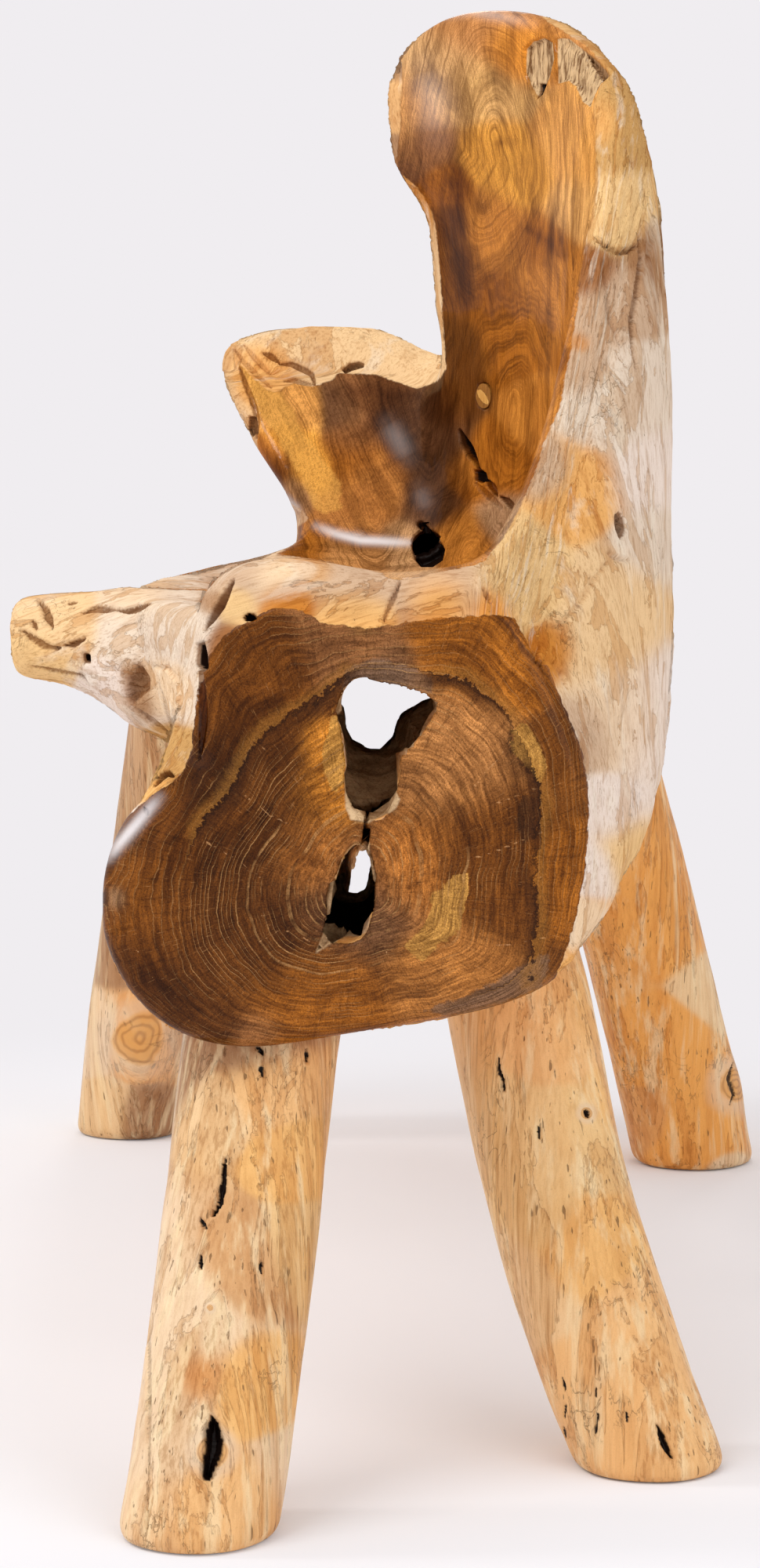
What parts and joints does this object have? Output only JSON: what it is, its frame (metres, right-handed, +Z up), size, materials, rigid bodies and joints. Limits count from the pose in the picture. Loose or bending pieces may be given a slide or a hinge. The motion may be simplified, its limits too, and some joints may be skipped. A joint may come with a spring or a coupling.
{
  "type": "root bench",
  "caption": "Rustic bench carved from a single tree root: dished seat, tall scooped back, leaf-shaped end arm, polished end grain, on splayed debarked log legs with tenons.",
  "frame": {"origin": "centre of the bench's bounding box, on the floor", "axes": "+X along the seat towards the sawn trunk end, +Y towards the back, +Z up"},
  "size_m": [1.2534, 0.536, 0.8609],
  "materials": {
    "root_wood": "satin varnish over carved root, natural skin outside",
    "leg_wood": "satin varnish over debarked log",
    "plug_wood": "satin varnish",
    "patch_wood": "satin varnish",
    "screw_steel": "zinc plated"
  },
  "bodies": {
    "root": {"root_body": "root_wood", "back_patch": "patch_wood", "leg_front_trunk_end": "leg_wood", "leg_front_trunk_end_screw": "screw_steel", "leg_front_trunk_end_plug": "plug_wood", "leg_back_trunk_end": "leg_wood", "leg_back_trunk_end_screw": "screw_steel", "leg_back_trunk_end_plug": "plug_wood", "leg_front_arm_end": "leg_wood", "leg_front_arm_end_screw": "screw_steel", "leg_front_arm_end_plug": "plug_wood", "leg_back_arm_end": "leg_wood", "leg_back_arm_end_screw": "screw_steel", "leg_back_arm_end_plug": "plug_wood"}
  },
  "joints": []
}
